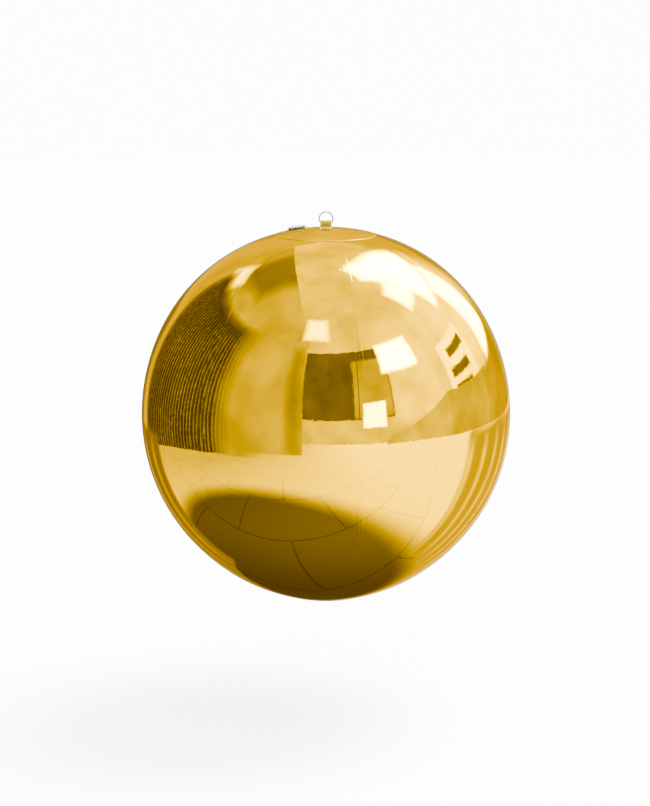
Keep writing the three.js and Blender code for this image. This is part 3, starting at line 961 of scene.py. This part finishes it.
def light_surface(name, strength, uneven=0.0):
    """A surface that shines, as strong as its cover attribute says, a little cloudy where it is uneven."""
    made = bpy.data.materials.new(name)
    made.use_nodes = True
    tree = made.node_tree
    tree.nodes.clear()
    cloud = tree.nodes.new("ShaderNodeTexNoise")
    cloud.inputs["Scale"].default_value = 0.7
    cloud.inputs["Detail"].default_value = 4
    tree.links.new(tree.nodes.new("ShaderNodeTexCoord").outputs["Object"], cloud.inputs["Vector"])
    level = tree.nodes.new("ShaderNodeMapRange")
    level.inputs["From Min"].default_value = 0.3
    level.inputs["From Max"].default_value = 0.7
    level.inputs["To Min"].default_value = strength * (1 - uneven)
    level.inputs["To Max"].default_value = strength * (1 + uneven)
    tree.links.new(cloud.outputs["Fac"], level.inputs["Value"])
    light = tree.nodes.new("ShaderNodeEmission")
    tree.links.new(level.outputs["Result"], light.inputs["Strength"])
    cover = tree.nodes.new("ShaderNodeAttribute")
    cover.attribute_name = "cover"
    mixed = tree.nodes.new("ShaderNodeMixShader")
    tree.links.new(cover.outputs["Fac"], mixed.inputs["Fac"])
    tree.links.new(tree.nodes.new("ShaderNodeBsdfTransparent").outputs[0], mixed.inputs[1])
    tree.links.new(light.outputs[0], mixed.inputs[2])
    out = tree.nodes.new("ShaderNodeOutputMaterial")
    tree.links.new(mixed.outputs[0], out.inputs["Surface"])
    made.cycles.emission_sampling = "NONE"
    return made


def stage_object(name, points, faces, look, cover=None):
    mesh = bpy.data.meshes.new(name)
    mesh.from_pydata([tuple(p) for p in points], [], faces)
    mesh.materials.append(look)
    mesh.polygons.foreach_set("use_smooth", [True] * len(mesh.polygons))
    covers = mesh.attributes.new("cover", "FLOAT", "POINT")
    covers.data.foreach_set("value", cover or [1.0] * len(points))
    made = bpy.data.objects.new(name, mesh)
    scene.collection.objects.link(made)
    return made


def only_in_reflections(obj):
    obj.visible_camera = False
    obj.visible_diffuse = False
    obj.visible_shadow = False
    obj.visible_transmission = False


def grid_faces(steps):
    corners = [i * (steps + 1) + k for i in range(steps) for k in range(steps)]
    return [[a, a + 1, a + steps + 2, a + steps + 1] for a in corners]


def patch(azimuths, elevations, distance, steps=24, soft=0.0, climb=0.0):
    """Points, faces and cover of a piece of a sphere round the ball. Its cover fades near its edge.

    Its top edge climbs by some degrees from its first azimuth to its last.
    """
    points, cover = [], []
    for azimuth in np.linspace(*azimuths, steps + 1):
        share = (azimuth - azimuths[0]) / (azimuths[1] - azimuths[0])
        for elevation in np.linspace(elevations[0], elevations[1] + climb * share, steps + 1):
            turn, rise = math.radians(azimuth), math.radians(elevation)
            level = math.cos(rise)
            way = Vector((math.sin(turn) * level, -math.cos(turn) * level, math.sin(rise)))
            points.append(Vector((0, 0, centre_z)) + way * distance)
            aside = min(azimuth - azimuths[0], azimuths[1] - azimuth) * max(level, 0.2)
            above = min(elevation - elevations[0], elevations[1] - elevation)
            cover.append(min(1.0, max(0.0, min(aside, above) / soft)) if soft else 1.0)
    return points, grid_faces(steps), cover


def card(name, azimuths, elevations, distance, strength, soft, climb=0.0):
    points, faces, cover = patch(azimuths, elevations, distance, 24, soft, climb)
    look = light_surface(name, strength, 0.2)
    only_in_reflections(stage_object(name, points, faces, look, cover))


def strips(name, azimuths, elevations, distance, count, share, strength, soft):
    """Upright strips side by side, each filling a share of its place."""
    pitch = (azimuths[1] - azimuths[0]) / count
    points, faces, cover = [], [], []
    for i in range(count):
        start = azimuths[0] + i * pitch
        more, sides, fades = patch((start, start + pitch * share), elevations, distance, 6, soft)
        faces += [[len(points) + k for k in face] for face in sides]
        points += more
        cover += fades
    look = light_surface(name, strength, 0.2)
    only_in_reflections(stage_object(name, points, faces, look, cover))


def ceiling(name, across, along, height, strength, soft, steps=24):
    """A level card above the ball. All its edges but the right one fade."""
    points, cover = [], []
    for x in np.linspace(*across, steps + 1):
        for y in np.linspace(*along, steps + 1):
            points.append(Vector((x, y, centre_z + height)))
            inside = min(x - across[0], y - along[0], along[1] - y)
            cover.append(min(1.0, max(0.0, inside / soft)) if soft else 1.0)
    look = light_surface(name, strength, 0.2)
    only_in_reflections(stage_object(name, points, grid_faces(steps), look, cover))


def reflected_floor():
    """The floor as the ball sees it: slabs with thin joints, and shade below the ball."""
    look = bpy.data.materials.new("slabs")
    look.use_nodes = True
    tree = look.node_tree
    tree.nodes.clear()
    place = tree.nodes.new("ShaderNodeTexCoord").outputs["Object"]

    def mapped(source, low, high, kind="SMOOTHSTEP"):
        made = tree.nodes.new("ShaderNodeMapRange")
        made.interpolation_type = kind
        made.inputs["From Min"].default_value, made.inputs["To Min"].default_value = low
        made.inputs["From Max"].default_value, made.inputs["To Max"].default_value = high
        tree.links.new(source, made.inputs["Value"])
        return made.outputs["Result"]

    def product(first, second):
        made = tree.nodes.new("ShaderNodeMath")
        made.operation = "MULTIPLY"
        tree.links.new(first, made.inputs[0])
        tree.links.new(second, made.inputs[1])
        return made.outputs[0]

    def distance(centre):
        made = tree.nodes.new("ShaderNodeVectorMath")
        made.operation = "DISTANCE"
        made.inputs[1].default_value = (*centre, floor_z)
        tree.links.new(place, made.inputs[0])
        return made.outputs["Value"]

    bricks = tree.nodes.new("ShaderNodeTexBrick")
    bricks.inputs["Scale"].default_value = 1.0
    bricks.inputs["Brick Width"].default_value = SLAB[0]
    bricks.inputs["Row Height"].default_value = SLAB[1]
    bricks.inputs["Mortar Size"].default_value = JOINT
    turned = tree.nodes.new("ShaderNodeMapping")
    turned.inputs["Rotation"].default_value = (0, 0, math.radians(SLAB_TURN))
    tree.links.new(place, turned.inputs["Vector"])
    tree.links.new(turned.outputs["Vector"], bricks.inputs["Vector"])
    joints = mapped(bricks.outputs["Fac"], (0, 1), (1, JOINT_LEVEL))
    shade = mapped(distance(SHADE_CENTRE), (SHADE_REACH[0], SHADE_LEVEL), (SHADE_REACH[1], 1))
    shade = product(shade, mapped(distance(DEEP_SHADE_CENTRE), *DEEP_SHADE))
    side = tree.nodes.new("ShaderNodeSeparateXYZ")
    tree.links.new(place, side.inputs[0])
    across = mapped(side.outputs["X"], *GRADIENT, "LINEAR")
    light = tree.nodes.new("ShaderNodeEmission")
    tree.links.new(product(product(joints, shade), across), light.inputs["Strength"])
    out = tree.nodes.new("ShaderNodeOutputMaterial")
    tree.links.new(light.outputs[0], out.inputs["Surface"])
    look.cycles.emission_sampling = "NONE"
    points, faces = disc(floor_z - REFLECTED_DROP, REFLECTED_RADIUS)
    only_in_reflections(stage_object("floor_in_reflections", points, faces, look))


def disc(height, radius, count=96):
    turns = [2 * math.pi * i / count for i in range(count)]
    points = [(radius * math.cos(t), radius * math.sin(t), height) for t in turns]
    return points, [list(range(count))]


def floor():
    """A pale floor and a round backdrop, which reflections don't see."""
    look = Shader("floor_paint").set(Specular_IOR_Level=0.1, Emission_Strength=1.4)
    look.set(Emission_Color=(1, 1, 1, 1))
    look.colours(look.noise(3, 3), (0.78, 0.78, 0.78), (0.82, 0.82, 0.82))
    look.roughness(look.noise(9, 3), 0.6, 0.75)
    look.material.cycles.emission_sampling = "NONE"
    points, faces = disc(floor_z, FLOOR_RADIUS)
    pale = stage_object("floor", points, faces, look.material)
    pale.visible_glossy = False
    wall = points + [(x, y, z + BACKDROP_HEIGHT) for x, y, z in points]
    count = len(points)
    sides = [[(i + 1) % count, i, count + i, count + (i + 1) % count] for i in range(count)]
    backdrop = stage_object("backdrop", wall, sides, light_surface("backdrop_light", PALE))
    backdrop.visible_glossy = False
    backdrop.visible_diffuse = False
    backdrop.visible_shadow = False


def lamp(name, kind, way, power, **settings):
    """A lamp that shines on the ball from a direction and isn't seen in reflections."""
    data = bpy.data.lights.new(name, kind)
    data.energy = power
    for key, value in settings.items():
        setattr(data, key, value)
    made = bpy.data.objects.new(name, data)
    scene.collection.objects.link(made)
    way = Vector(way).normalized()
    made.location = Vector((0, 0, centre_z)) + way * 5
    made.rotation_mode = "QUATERNION"
    made.rotation_quaternion = way.to_track_quat("Z", "Y")
    made.visible_glossy = False


def studio():
    floor()
    reflected_floor()
    for row in CARDS:
        card(*row)
    for row in STRIPS:
        strips(*row)
    for row in CEILINGS:
        ceiling(*row)
    world = bpy.data.worlds.new("studio")
    scene.world = world
    world.use_nodes = True
    background = world.node_tree.nodes["Background"]
    background.inputs["Color"].default_value = (1, 1, 1, 1)
    background.inputs["Strength"].default_value = 0.5
    lamp("overhead", "SUN", (0.45, 0.3, 1), 4.5, angle=math.radians(35))
    lamp("fill", "SUN", (-0.3, -1, 0.35), 1.2, angle=math.radians(80))


studio()
scene.view_settings.view_transform = "AgX"
scene.view_settings.look = "AgX - Very High Contrast"
